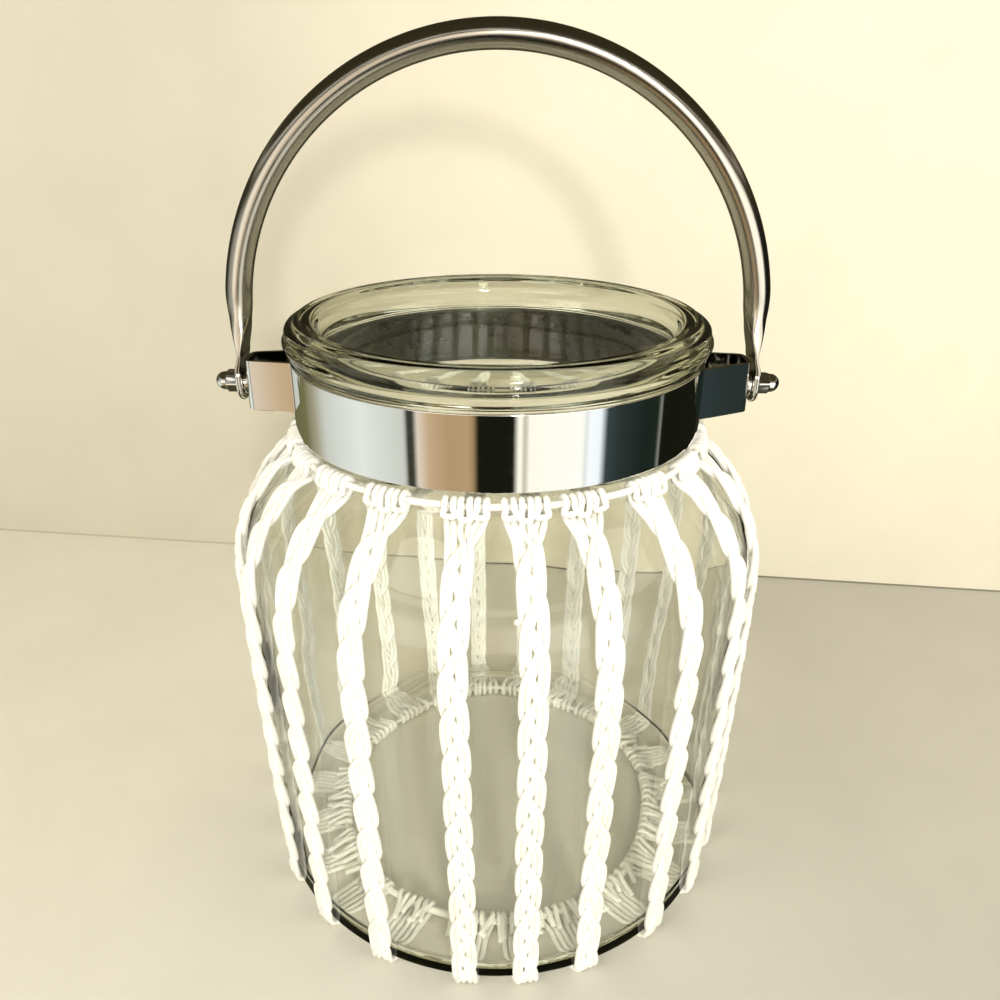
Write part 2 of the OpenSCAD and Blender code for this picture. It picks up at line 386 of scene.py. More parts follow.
def cord_material():
    m, tree, bsdf, _ = new_material("white_cord")
    uv = tree.nodes.new("ShaderNodeUVMap")
    uv.uv_map = "UVMap"
    fibres = noise_node(tree, stretched(tree, uv.outputs["UV"], (0.5, 26.0, 1.0)), 1.0, 4.0, 0.6)
    coords = tree.nodes.new("ShaderNodeTexCoord").outputs["Object"]
    soil = noise_node(tree, coords, 55.0, 4.0, 0.6)
    colour = ramp(tree, soil, [(0.30, (0.90, 0.88, 0.80, 1)), (0.62, (0.97, 0.96, 0.91, 1))])
    tree.links.new(colour, bsdf.inputs["Base Color"])
    rough = ramp(tree, fibres, [(0.3, grey(0.55)), (0.7, grey(0.72))])
    tree.links.new(rough, bsdf.inputs["Roughness"])
    bsdf.inputs["Sheen Weight"].default_value = 0.25
    bsdf.inputs["Sheen Roughness"].default_value = 0.4
    tree.links.new(bump(tree, fibres, 0.35, 0.00025), bsdf.inputs["Normal"])
    return m


def glass_material():
    m, tree, bsdf, out = new_material("clear_glass")
    bsdf.inputs["Base Color"].default_value = (0.985, 0.99, 0.975, 1)
    bsdf.inputs["Transmission Weight"].default_value = 1.0
    bsdf.inputs["IOR"].default_value = 1.50
    coords = tree.nodes.new("ShaderNodeTexCoord").outputs["Object"]
    smear = noise_node(tree, coords, 24.0, 3.0, 0.5)
    rough = ramp(tree, smear, [(0.35, grey(0.0)), (0.75, grey(0.02))])
    tree.links.new(rough, bsdf.inputs["Roughness"])
    ripple = noise_node(tree, stretched(tree, coords, (1.0, 1.0, 0.45)), 26.0, 2.0, 0.4)
    tree.links.new(bump(tree, ripple, 0.12, 0.0012), bsdf.inputs["Normal"])
    absorb = tree.nodes.new("ShaderNodeVolumeAbsorption")
    absorb.inputs["Color"].default_value = (0.700, 0.705, 0.57, 1)
    absorb.inputs["Density"].default_value = 72.0
    tree.links.new(absorb.outputs["Volume"], out.inputs["Volume"])
    return m


POLISHED = steel_material("polished_steel", 0.02, 0.06, (60.0, 60.0, 900.0))
# rougher steel for the band's inner face; its near-black colour is painted shade
DULL_SHADED = steel_material("dull_steel_painted_shade", 0.22, 0.34, (70.0, 70.0, 300.0), (0.07, 0.068, 0.05, 1))
HANDLE_STEEL = handle_steel()
CORD = cord_material()
GLASS = glass_material()

# ---------------------------------------------------------------- glass jar


def jar_outer_line():
    """The jar's outline from the middle of its underside to the rim, as [radius, height]."""
    heel_z = GLASS_Z + HEEL_ROUND
    pts = [arc(HEEL_R - HEEL_ROUND, heel_z, HEEL_ROUND, -90, 0, 12)]
    z = np.linspace(heel_z, BODY_Z, 48)[1:]
    r = HEEL_R + (BODY_R - HEEL_R) * (1 - np.cos(np.pi * (z - heel_z) / (BODY_Z - heel_z))) / 2
    pts.append(np.stack([r, z], -1))
    t = np.linspace(0, 1, 60)[1:] ** 0.8
    z = BODY_Z + (SHOULDER_TOP - BODY_Z) * t
    r = WAIST_R + (BODY_R - WAIST_R) * (1 - t ** SHOULDER_POWER)
    pts.append(np.stack([r, z], -1))
    return np.vstack(pts)


def offset_line(line, d):
    t = np.gradient(line, axis=0)
    t /= np.linalg.norm(t, axis=1)[:, None]
    return line + d * np.stack([t[:, 1], -t[:, 0]], -1)


OUTER = jar_outer_line()


def build_jar():
    floor_z = GLASS_Z + FLOOR
    low_floor_z = GLASS_Z + HEEL_FLOOR
    heel_in_round = 4.0
    heel_in = HEEL_R - WALL - heel_in_round
    raised_r = base_high[0] + 3.0
    inner = offset_line(OUTER, -WALL)
    inner = inner[inner[:, 1] > low_floor_z + heel_in_round + 1.0]
    inner = inner[inner[:, 1] < INSIDE_TOP]

    def dome(r_edge, z_edge, z_middle):
        """The gently raised middle of the floor, from its edge inwards."""
        k = np.linspace(0, 1, 15)
        return np.stack([r_edge + (raised_r - 4 - r_edge) * k,
                         z_edge + (z_middle - z_edge) * (1 - np.cos(k * math.pi)) / 2], -1)

    rim_c = RIM_R - BEAD_R
    rim_z = JAR_TOP - BEAD_R
    neck_out = catmull([OUTER[-1], [WAIST_R - 0.25, 198.2], [WAIST_R + 0.5, 201.2],
                        [NECK_R - 0.2, 204.6], [NECK_R, 210], [NECK_R, 229.4]], 1.0)[1:]
    # the rolled rim, with shallow ridges on its outer side
    a = np.radians(np.linspace(-58, 236, 91))
    ridge_h, ridges = 0.34, 9
    bead_r = BEAD_R - 0.5 + (ridge_h * np.cos(a * ridges + 0.6)
                             * np.clip((np.cos(a - math.radians(20)) + 0.75) / 0.8, 0, 1))
    bead = np.stack([rim_c + bead_r * np.cos(a), rim_z + bead_r * np.sin(a)], -1)
    neck_in = catmull([[WAIST_R - WALL + 0.2, 229.0], [WAIST_R - WALL, 215], [WAIST_R - WALL, 200],
                       [WAIST_R - WALL + 0.2, 196.0], inner[-1]], 1.5)
    hollow_z = GLASS_Z + PUSH_UP
    profile = np.vstack([
        [[CENTRE_R, hollow_z], [FLAT_MIDDLE_R, hollow_z]],
        dome(FOOT_IN_R + 1.0, GLASS_Z + 0.02, hollow_z)[::-1],
        OUTER, neck_out, bead, neck_in, inner[::-1][1:],
        arc(heel_in, low_floor_z + heel_in_round, heel_in_round, 0, -90, 10)[1:-1],
        dome(heel_in, low_floor_z, floor_z),
        [[FLAT_MIDDLE_R, floor_z], [CENTRE_R, floor_z]],
    ])
    start_in = len(profile) - len(inner) - len(neck_in)

    def wave(angle, height, index):
        """The uneven wall of pressed glass, fading out towards the foot and the rim."""
        inside = index >= start_in
        fade = (np.clip((height - GLASS_Z - 12) / 30, 0, 1)
                * np.clip((JAR_TOP - 20 - height) / 20, 0, 1))
        outside_wave = (0.10 * np.sin(3 * angle + height / 31 + 0.4)
                        + 0.06 * np.sin(7 * angle - height / 22))
        inside_wave = (0.22 * np.sin(2 * angle - height / 40 + 1.1)
                       + 0.12 * np.sin(5 * angle + height / 17)
                       + 0.06 * np.sin(11 * angle - height / 13))
        return fade * np.where(inside, inside_wave, -0.16 + outside_wave)

    ob = revolve("jar_glass", profile, 224, GLASS, wave, closed=False)
    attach(ob, "lantern")
    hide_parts("glass_jar")
    ob.visible_shadow = False
    return ob


# ---------------------------------------------------------------- neck band and brackets

def rounded_strip(r_in, r_out, z_low, z_high, edge):
    """A band's section with its four edges rounded. A point by each edge keeps the sides flat."""
    by_edge = 0.2
    low, high = z_low + edge + by_edge, z_high - edge - by_edge
    return np.vstack([
        arc(r_out - edge, z_low + edge, edge, -90, 0, 4), [[r_out, low], [r_out, high]],
        arc(r_out - edge, z_high - edge, edge, 0, 90, 4),
        arc(r_in + edge, z_high - edge, edge, 90, 180, 4), [[r_in, high], [r_in, low]],
        arc(r_in + edge, z_low + edge, edge, 180, 270, 4)])


def build_band():
    thick, edge = 1.2, 0.28
    section = rounded_strip(BAND_R - thick, BAND_R, band_low[2], band_high[2], edge)

    def wave(angle, height, index):
        return 0.05 * np.sin(2 * angle + 0.5) + 0.03 * np.sin(5 * angle + height / 30)

    ob = revolve("neck_band", section, 256, POLISHED, wave)
    ob.data.materials.append(DULL_SHADED)
    # its inner face is dull steel, and its dark colour is painted shade for the shade inside the neck
    half_way = (BAND_R - thick / 2) * MM
    for face in ob.data.polygons:
        if math.hypot(face.center.x, face.center.y) < half_way and abs(face.normal.z) < 0.5:
            face.material_index = 1
    # the lapped end at the back
    lap_t, lap_gap, lap_inset, lap_edge, lap_half = 0.9, 0.05, 0.1, 0.22, 6
    lap = rounded_strip(BAND_R + lap_gap, BAND_R + lap_gap + lap_t,
                        band_low[2] + lap_inset, band_high[2] - lap_inset, lap_edge)
    angles = np.radians(np.linspace(90 - lap_half, 90 + lap_half, 17))
    verts = np.stack([np.outer(np.cos(angles), lap[:, 0]), np.outer(np.sin(angles), lap[:, 0]),
                      np.broadcast_to(lap[:, 1], (len(angles), len(lap)))], -1).reshape(-1, 3)
    faces = [tuple(f) for f in grid_faces(len(angles), len(lap), False, True)]
    faces += [tuple(range(len(lap)))[::-1], tuple(range(len(verts) - len(lap), len(verts)))]
    lap_ob = make_object("neck_band_lap", verts, faces, POLISHED, smooth=False)
    for piece in (ob, lap_ob):
        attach(piece, "lantern")
        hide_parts("collar_band")


def extrude_outline(outline, low, high, edge):
    """A prism of an outline in X and Y, its ends slightly bevelled by edge."""
    outline = np.asarray(outline, float)
    t = np.roll(outline, -1, 0) - np.roll(outline, 1, 0)
    t /= np.linalg.norm(t, axis=1)[:, None]
    inset = outline - edge * np.stack([t[:, 1], -t[:, 0]], -1)
    rows = [(inset, low), (outline, low + edge), (outline, high - edge), (inset, high)]
    verts = np.vstack([np.column_stack([p, np.full(len(p), z)]) for p, z in rows])
    n = len(outline)
    faces = [tuple(f) for f in grid_faces(4, n, False, True)]
    return verts, faces, n


def build_bracket(side):
    """A strip bent to a U, its legs spread. The right one's front leg is bent further out."""
    strip, bend, half, bevel = 1.5, 3.0, 7.2, 0.18
    spread, wide_spread = 10.0, 26.0
    centre = (bracket_high[0] - bend, half - bend)
    front_spread = wide_spread if side > 0 else spread
    weld_r = BAND_R - 0.35

    def half_plan(r, lean):
        """Half of one face of the strip: the bend, then the leg down to the band."""
        line = arc(centre[0], centre[1], r, 0, 90 - lean, 10)
        tip = line[-1]
        foot_x = weld_r
        for _ in range(4):
            foot_y = tip[1] + (tip[0] - foot_x) * math.tan(math.radians(lean))
            foot_x = math.sqrt(weld_r ** 2 - foot_y ** 2)
        return np.vstack([line, [foot_x, foot_y]])

    back_out, back_in = half_plan(bend, spread), half_plan(bend - strip, spread)
    front_out = half_plan(bend, front_spread) * [1, -1]
    front_in = half_plan(bend - strip, front_spread) * [1, -1]
    outline = np.vstack([front_out[::-1], back_out, back_in[::-1], front_in])
    verts, faces, n = extrude_outline(outline, bracket_low[2], bracket_high[2], bevel)
    # the ends are quads between the outer and the inner edge
    m = n // 2
    for base, flip in ((0, True), (3 * n, False)):
        for i in range(m - 1):
            quad = (base + i, base + i + 1, base + n - 2 - i, base + n - 1 - i)
            faces.append(quad[::-1] if flip else quad)
    verts = verts * [side, 1, 1]
    if side < 0:
        faces = [f[::-1] for f in faces]
    name = "right" if side > 0 else "left"
    ob = make_object(f"bracket_{name}_strip", verts, faces, POLISHED, smooth=True)
    shade_by_angle(ob)
    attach(ob, "lantern")
    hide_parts(f"bracket_{name}")


def shade_by_angle(ob, degrees=35):
    """Marks sharp every edge that turns more than the angle."""
    mesh = ob.data
    limit = math.cos(math.radians(degrees))
    normals = [p.normal.copy() for p in mesh.polygons]
    by_edge = {}
    for p in mesh.polygons:
        for key in p.edge_keys:
            by_edge.setdefault(key, []).append(p.index)
    for edge in mesh.edges:
        owners = by_edge.get(tuple(sorted(edge.vertices)), [])
        if len(owners) == 2 and normals[owners[0]].dot(normals[owners[1]]) < limit:
            edge.use_edge_sharp = True


# ---------------------------------------------------------------- nuts, bolts and washers

def turned_on_x(name, profile, side, hex_flats=None, hex_until=0.0, closed=False, hex_turn=0.0):
    """Turns an outline of [radius, x] points round the pivot line. Up to hex_until it is a hexagon."""
    segments = 96
    profile = np.asarray(profile, float)
    a = np.arange(segments) / segments * TAU
    r = np.repeat(profile[None, :, 0], segments, 0)
    if hex_flats:
        local = (a + math.radians(hex_turn) + TAU / 12) % (TAU / 6) - TAU / 12
        flat = hex_flats / 2 / np.cos(local)
        worn_corner = 0.12
        flat = np.minimum(flat, hex_flats / 2 / math.cos(TAU / 12) - worn_corner)
        clip = profile[None, :, 1] <= hex_until
        r = np.where(clip, np.minimum(r, flat[:, None]), r)
    x = np.repeat(profile[None, :, 1], segments, 0) * side
    y = r * np.sin(a)[:, None]
    z = PIVOT_Z + r * np.cos(a)[:, None]
    verts = np.stack([x, y, z], -1).reshape(-1, 3)
    faces = [tuple(f) for f in grid_faces(segments, len(profile), True, closed)]
    if not closed:
        first = np.arange(segments) * len(profile)
        faces += [tuple(first), tuple(first[::-1] + len(profile) - 1)]
    ob = make_object(name, verts, faces, POLISHED)
    shade_by_angle(ob, 28)
    return ob


def build_hardware(side):
    """The acorn nut, spacer washer and hex bolt of one pivot."""
    name = "right" if side > 0 else "left"
    axis_r, shank_r, across_flats = 0.001, 2.5, 8.0

    nut_x, tip = nut_low[0], nut_high[0]
    hex_h, hex_r, dome_r, bore_r, bore_h = 5.0, 4.9, 3.6, 2.6, 6.1
    hex_turn = -11.25 if side > 0 else 7.5
    nut = [[axis_r, nut_x + bore_h], [bore_r, nut_x + bore_h], [bore_r, nut_x], [3.7, nut_x],
           [hex_r, nut_x + 0.35], [hex_r, nut_x + hex_h - 0.55], [3.75, nut_x + hex_h],
           [dome_r, nut_x + hex_h + 0.05], [dome_r, nut_x + hex_h + 0.8]]
    dome = arc(0, tip - dome_r, dome_r, 6, 90, 13)
    dome[-1, 0] += axis_r
    nut = np.vstack([nut, dome])
    ob = turned_on_x(f"nut_{name}", nut, side, across_flats, nut_x + hex_h - 0.01, hex_turn=hex_turn)
    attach(ob, "lantern")
    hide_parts(f"acorn_nut_{name}")

    w0, w1, washer_r, hole_r = washer_low[0], washer_high[0], 5.0, 2.65
    washer = [[hole_r, w0], [washer_r - 0.25, w0], [washer_r, w0 + 0.2],
              [washer_r, w1 - 0.2], [washer_r - 0.25, w1], [hole_r, w1]]
    ob = turned_on_x(f"washer_{name}", washer, side, closed=True)
    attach(ob, "lantern")
    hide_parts(f"spacer_washer_{name}")

    b0, b1, head_h = bolt_low[0], bolt_high[0], 3.5
    bolt = [[axis_r, b0], [3.4, b0], [3.9, b0 + 0.3], [hex_r, b0 + 0.9], [hex_r, b0 + head_h],
            [shank_r, b0 + head_h], [shank_r, b1 - 0.3], [2.2, b1], [axis_r, b1]]
    ob = turned_on_x(f"bolt_{name}", bolt, side, across_flats, b0 + head_h)
    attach(ob, "lantern")
    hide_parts(f"pivot_bolt_{name}")


# ---------------------------------------------------------------- handle

TUBE_R = 5.0
TAB_T = 2.2
TAB_HALF_W = 7.5
TAB_TOP = PIVOT_Z + 4.8
TAB_X = washer_high[0] + 0.1


def handle_line():
    """The tube's middle line in X and Z from one flattened end to the other, and its outward way."""
    arch_r = bail_high[0] - TUBE_R
    arch_z = bail_high[2] - TUBE_R - arch_r
    leg_z = np.linspace(TAB_TOP, arch_z, 45)[:-1]
    leg = np.column_stack([np.full(len(leg_z), arch_r), leg_z])
    crown = arc(0, arch_z, arch_r, 0, 180, 180)
    turn = np.radians(np.linspace(0, 180, len(crown)))
    outward = np.vstack([np.tile([1.0, 0.0], (len(leg), 1)),
                         np.column_stack([np.cos(turn), np.sin(turn)]),
                         np.tile([-1.0, 0.0], (len(leg), 1))])
    return arch_r, np.vstack([leg, crown, leg[::-1] * [-1, 1]]), outward


def build_handle_tube():
    arch_r, line, outward = handle_line()
    rise = line[:, 1] - PIVOT_Z

    def swell(start, end):
        return np.sin(np.clip((rise - start) / (end - start), 0, 1) * math.pi / 2) ** 1.2

    # the flat end leans inwards over the bracket, and above it the tube swells to its full round
    lean, thinned = 1.3, 0.6
    lean_from, lean_to = 5.0, 12.4
    leaning = ease(rise, lean_from, lean_to)
    inner_foot, outer_foot = TAB_X - lean, TAB_X + TAB_T - lean - thinned
    inner_x = TAB_X - lean * leaning - (inner_foot - arch_r + TUBE_R) * swell(lean_to, 32.0)
    outer_x = (TAB_X + TAB_T - (lean + thinned) * leaning
               + (arch_r + TUBE_R - outer_foot) * swell(12.0, 37.0))
    flat_half_w = TAB_HALF_W - 0.1
    half_w = flat_half_w + (TUBE_R - flat_half_w) * ease(rise, 11.0, 31.0)
    half_t = (outer_x - inner_x) / 2
    middle = (outer_x + inner_x) / 2 - arch_r
    # a round section has the power 1, and a flat one with round corners is near 1/4
    power = 2.0 / (2.0 + 6.0 * (1 - ease(rise, 11.0, 27.0)))
    sides = 40
    a = np.arange(sides) / sides * TAU
    c, s = np.cos(a), np.sin(a)
    verts = []
    for i in range(len(line)):
        u = middle[i] + np.sign(c) * np.abs(c) ** power[i] * half_t[i]
        v = np.sign(s) * np.abs(s) ** power[i] * half_w[i]
        verts.append(np.column_stack([line[i, 0] + outward[i, 0] * u, v,
                                      line[i, 1] + outward[i, 1] * u]))
    n = len(line)
    faces = [tuple(f) for f in grid_faces(n, sides, False, True)]
    faces += [tuple(range(sides))[::-1], tuple(range((n - 1) * sides, n * sides))]
    along = np.concatenate([[0], np.cumsum(np.linalg.norm(np.diff(line, axis=0), axis=1))])
    uvs = tube_uvs(along, sides) + [(0, 0)] * (2 * sides)
    ob = make_object("handle_tube", np.vstack(verts), faces, HANDLE_STEEL, uvs=uvs)
    shade_by_angle(ob, 50)
    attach(ob, "bail")
    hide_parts("bail_handle")


def build_handle_tab(side):
    """A flattened end: a plate with a round foot and a hole for the bolt."""
    hole_r, steps = 2.56, 72
    angles = np.arange(steps) / steps * TAU
    c, s = np.cos(angles), np.sin(angles)
    reach = TAB_TOP - PIVOT_Z + 0.3
    to_edge = np.minimum(reach / np.maximum(s, 1e-6), TAB_HALF_W / np.maximum(np.abs(c), 1e-6))
    outline_r = np.where(angles < math.pi, to_edge, TAB_HALF_W)

    def loop(r, x):
        return np.column_stack([np.full(steps, x), r * c, PIVOT_Z + r * s])

    loops = [loop(hole_r, TAB_X)]
    for turn in np.radians(np.linspace(-90, 90, 9)):
        inset = TAB_T / 2 * (1 - math.cos(turn))
        loops.append(loop(outline_r * (1 - inset / TAB_HALF_W),
                          TAB_X + TAB_T / 2 * (1 + math.sin(turn))))
    loops.append(loop(hole_r, TAB_X + TAB_T))
    verts = np.vstack(loops) * [side, 1, 1]
    faces = grid_faces(len(loops), steps, True, True)
    name = "right" if side > 0 else "left"
    ob = make_object(f"handle_tab_{name}", verts, faces, POLISHED)
    shade_by_angle(ob, 25)
    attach(ob, "bail")
    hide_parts("bail_handle")


# ---------------------------------------------------------------- cords


def relaxed_plait():
    """One period of a flat plait of three double strands: X and height of six cords along it.

    The strands start on the ideal figure and are pushed apart until no two cords overlap."""
    n = 60
    t = np.arange(n) / n * TAU
    ds = PLAIT_PERIOD / n
    x, y = [], []
    for k in range(3):
        phase = t + TAU * k / 3
        slope = PLAIT_SWING * np.cos(phase) * TAU / PLAIT_PERIOD
        for off in (-0.5, 0.5):
            swing = PLAIT_SWING * np.tanh(1.9 * np.sin(phase)) / math.tanh(1.9)
            x.append(swing + off * CORD_D * 0.96 * np.sqrt(1 + slope ** 2))
            y.append(PLAIT_THICK / 2 + 1.05 * np.sin(2 * phase))
    x, y = np.array(x), np.array(y)
    x0 = x.copy()
    for _ in range(500):
        dx_all, dy_all = np.zeros_like(x), np.zeros_like(y)
        for i in range(6):
            for j in range(i + 1, 6):
                for m in range(-4, 5):
                    xj, yj = np.roll(x[j], -m), np.roll(y[j], -m)
                    dx, dy = x[i] - xj, y[i] - yj
                    flat = np.maximum(np.hypot(dx, dy), 1e-3)
                    gap = np.sqrt(flat ** 2 + (m * ds) ** 2)
                    push = np.clip(CORD_D * 0.90 - gap, 0, None) * 0.12
                    px, py = push * dx / flat, push * dy / flat
                    dx_all[i] += px
                    dy_all[i] += py
                    dx_all[j] -= np.roll(px, m)
                    dy_all[j] -= np.roll(py, m)
        x += dx_all + 0.06 * (x0 - x)
        y += dy_all
        for arr in (x, y):
            arr += 0.12 * (np.roll(arr, 1, 1) + np.roll(arr, -1, 1) - 2 * arr)
        y = np.clip(y, CORD_D / 2, PLAIT_THICK - CORD_D / 2)
    return x, y


PLAIT_X, PLAIT_Y = relaxed_plait()


def plait_at(s):
    """X and height of the six cords at distances s along the plait."""
    n = PLAIT_X.shape[1]
    f = (s / PLAIT_PERIOD * n) % n
    i = np.floor(f).astype(int) % n
    w = f - np.floor(f)
    j = (i + 1) % n
    return PLAIT_X[:, i] * (1 - w) + PLAIT_X[:, j] * w, PLAIT_Y[:, i] * (1 - w) + PLAIT_Y[:, j] * w


def lay_path():
    """The plait's way over the glass from the waist down to the base ring: points, normals, lengths."""
    line = OUTER[OUTER[:, 1] < 195.4][::-1]
    under = np.array([[92.0, GLASS_Z], [84.0, GLASS_Z]])
    line = np.vstack([line, under])
    seg = np.concatenate([[0], np.cumsum(np.linalg.norm(np.diff(line, axis=0), axis=1))])
    s = np.arange(0, seg[-1], LAY_STEP)
    p = np.stack([np.interp(s, seg, line[:, 0]), np.interp(s, seg, line[:, 1])], -1)
    t = np.gradient(p, axis=0)
    t /= np.linalg.norm(t, axis=1)[:, None]
    return s, p, np.stack([-t[:, 1], t[:, 0]], -1)


LAY_S, LAY_P, LAY_N = lay_path()


def wrapped(direction, x, r, z):
    """Points at sideways distance x, radius r and height z about a direction from -Y towards +X."""
    a = math.radians(direction) + x / r
    return np.stack([r * np.sin(a), -r * np.cos(a), z], -1)


def ring_z(direction):
    return RING_Z + RING_RISE * math.cos(math.radians(direction - RING_RISE_DIR))


def head_points(half, x_mid, bar_w, bar_z, tilt):
    """Half of a lark's head knot, from the middle of its bar to where the cord hangs free."""
    local = np.array([
        (0.0, 2.62, bar_z), (0.95, 2.68, bar_z + 0.03),
        (bar_w, 2.60, bar_z + 0.40), (bar_w + 0.02, 2.45, bar_z + 1.35),
        (1.48, 2.25, -0.3), (1.48, 1.70, 1.5), (1.45, 0.0, 2.3), (1.42, -1.7, 1.5), (1.38, -2.25, -0.2),
        (1.30, -1.75, -1.9), (1.22, -0.75, -3.2), (1.15, 0.30, -4.7)])
    x, z = half * local[:, 0], local[:, 2]
    fade = np.array([1, 1, 1, 1, 1, 0.9, 0.7, 0.5, 0.3, 0.15, 0.0, 0.0]) * tilt
    return np.column_stack([x_mid + x - z * fade, local[:, 1], z + x * fade])


def tail_path(direction, x):
    """A cord's end from under the base, up inside the base ring, back over its top and out."""
    fan = x / UNDER_PITCH * 0.75 + rng.normal(0, 0.6)
    loose = rng.normal(0, 2.8)
    reach = rng.uniform(80.8, 86.0)
    local = [(81.5, 1.2, x), (77.0, 1.2, x + fan * 0.6), (74.7, 1.9, x + fan),
             (74.1, 3.3, x + fan), (74.8, 4.9, x + fan), (76.6, 5.4, x + fan),
             (78.7, 4.7, x + fan + loose * 0.4),
             (reach, 3.9 + rng.normal(0, 0.2), x + fan + loose)]
    return np.array([wrapped(direction, np.array(side_x), r, z) for r, z, side_x in local])


def build_braid(number, direction):
    """Six cords: knots on the neck ring, a V that gathers them, the plait, and tails under the base."""
    s = LAY_S
    ring_top = ring_z(direction)
    phase = rng.uniform(0, PLAIT_PERIOD)
    drift = rng.normal(0, 0.35, 3)
    plait_x, plait_y = plait_at(s + phase)
    plait_x = (plait_x + drift[0] * np.sin(s / 61.0 + drift[1] * 6)
               + 0.12 * np.sin(s / 9.0 + drift[2] * 9))
    order = np.argsort(plait_x[:, int(V_LENGTH / LAY_STEP)])
    gather = ease(s, 2.5, 2.5 + V_LENGTH)
    drop = np.clip(1 - s / 9.0, 0, 1) * (ring_top - RING_Z)
    # towards the base the plait is pressed flatter, and under it the cords lie side by side
    pressed = 1 - 0.5 * ease(s, s[-1] - 60, s[-1] - 24)
    under = ease(s, s[-1] - 19, s[-1] - 5)
    gap, bed = 0.12, 1.25
    tilts = rng.normal(0, 0.10, HEADS)
    bars = rng.normal(0, 0.18, HEADS)
    parts = []
    for place, cord in enumerate(order):
        half = -1 if place % 2 == 0 else 1
        head = place // 2
        # the middle knot is pulled tighter and hangs lower than the two beside it
        bar_w, bar_z = (1.55, -3.75) if head == 1 else (2.0, -2.75)
        knot = head_points(half, (head - 1) * HEAD_PITCH, bar_w, bar_z + bars[head], tilts[head])
        knot = wrapped(direction, knot[:, 0], RING_R + knot[:, 1], ring_top + knot[:, 2])
        under_x = (place - 2.5) * UNDER_PITCH
        x = HANG[place] * (1 - gather) + plait_x[cord] * gather
        x = x * (1 - under) + under_x * under
        y = bed * (1 - gather) + plait_y[cord] * gather
        y = CORD_D / 2 + (y - CORD_D / 2) * pressed + gap
        y = y * (1 - under) + bed * under
        p = LAY_P + LAY_N * y[:, None]
        laid = wrapped(direction, x, p[:, 0], p[:, 1] + drop)[s > 1.5]
        tail = tail_path(direction, under_x)
        path = catmull(np.vstack([catmull(knot, 0.9), laid, catmull(tail, 1.2)]), 1.9)
        wobble = 1 + 0.02 * np.sin(np.arange(len(path)) * 0.37 + place)
        parts.append(sweep(path, CORD_D / 2 * wobble, 10))
    verts, faces, uvs = join_parts(parts)
    ob = make_object(f"plait_{number:02d}", verts, faces, CORD, uvs=uvs)
    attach(ob, "lantern")
    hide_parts(f"braid_{number:02d}")


def ring_path(r, height):
    """A closed ring of points, its height given by direction."""
    return np.array([wrapped(d, np.array(0.0), r, height(d)) for d in range(360)])


def build_rings():
    path = ring_path(RING_R, lambda d: ring_z(d) + 0.10 * math.sin(math.radians(d) * 22))
    verts, faces, uvs = sweep(path, RING_CORD_R, 12, close_loop=True)
    ob = make_object("neck_cord", verts, faces, CORD, uvs=uvs)
    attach(ob, "lantern")
    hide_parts("neck_ring_cord")
    path = ring_path(BASE_RING_R, lambda d: BASE_RING_Z + 0.05 * math.sin(math.radians(d) * 17))
    verts, faces, uvs = sweep(path, BASE_CORD_R, 12, close_loop=True)
    ob = make_object("base_cord", verts, faces, CORD, uvs=uvs)
    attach(ob, "lantern")
    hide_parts("base_ring_cord")


build_jar()
build_band()
for side in (1, -1):
    build_bracket(side)
    build_hardware(side)
build_handle_tube()
for side in (1, -1):
    build_handle_tab(side)
build_rings()
# the plaits that the front view doesn't show are evenly spaced round the back
back_count = BRAIDS - len(FRONT_DIRS)
back_step = (360 - FRONT_DIRS[-1] + FRONT_DIRS[0]) / (back_count + 1)
directions = FRONT_DIRS + [FRONT_DIRS[-1] + back_step * (i + 1) for i in range(back_count)]
for index, direction in enumerate(directions):
    build_braid(index + 1, direction)

# ---------------------------------------------------------------- floor, light and camera

LIGHTS_AIM_Z = 0.15
SENSOR = 36.0
FOCAL_SHARE = 0.8495
CAMERA_AT = (0.00115, -0.3260, 0.3181)
CAMERA_DOWN = 25.25
CAMERA_ROLL = 0.0048


def plain_material(name, colour, roughness, left, middle, right, one_sided=False):
    """Paint that is a little lighter or darker to the left and right, as uneven room light leaves it."""
    m, tree, bsdf, out = new_material(name)
    coords = tree.nodes.new("ShaderNodeTexCoord").outputs["Object"]
    split = tree.nodes.new("ShaderNodeSeparateXYZ")
    tree.links.new(coords, split.inputs[0])
    across = math_node(tree, "MULTIPLY_ADD", split.outputs["X"], 1.4, 0.5)
    shades = [(at, tuple(c * factor for c in colour) + (1,))
              for at, factor in ((0.25, left), (0.5, middle), (0.75, right))]
    mottle = noise_node(tree, coords, 14.0, 4.0, 0.6)
    patchy = ramp(tree, mottle, [(0.3, grey(0.95)), (0.7, grey(1.0))])
    paint = tree.nodes.new("ShaderNodeMix")
    paint.data_type, paint.blend_type = "RGBA", "MULTIPLY"
    paint.inputs[0].default_value = 1.0
    tree.links.new(ramp(tree, across, shades), paint.inputs[6])
    tree.links.new(patchy, paint.inputs[7])
    tree.links.new(paint.outputs[2], bsdf.inputs["Base Color"])
    bsdf.inputs["Roughness"].default_value = roughness
    bsdf.inputs["Specular IOR Level"].default_value = 0.15
    if one_sided:
        # the wall's face is turned away from the lantern: its back is painted, its front is clear
        painted = tree.nodes.new("ShaderNodeNewGeometry").outputs["Backfacing"]
        clear = tree.nodes.new("ShaderNodeBsdfTransparent")
        pick = tree.nodes.new("ShaderNodeMixShader")
        tree.links.new(painted, pick.inputs[0])
        tree.links.new(clear.outputs["BSDF"], pick.inputs[1])
        tree.links.new(bsdf.outputs["BSDF"], pick.inputs[2])
        tree.links.new(pick.outputs[0], out.inputs["Surface"])
    return m


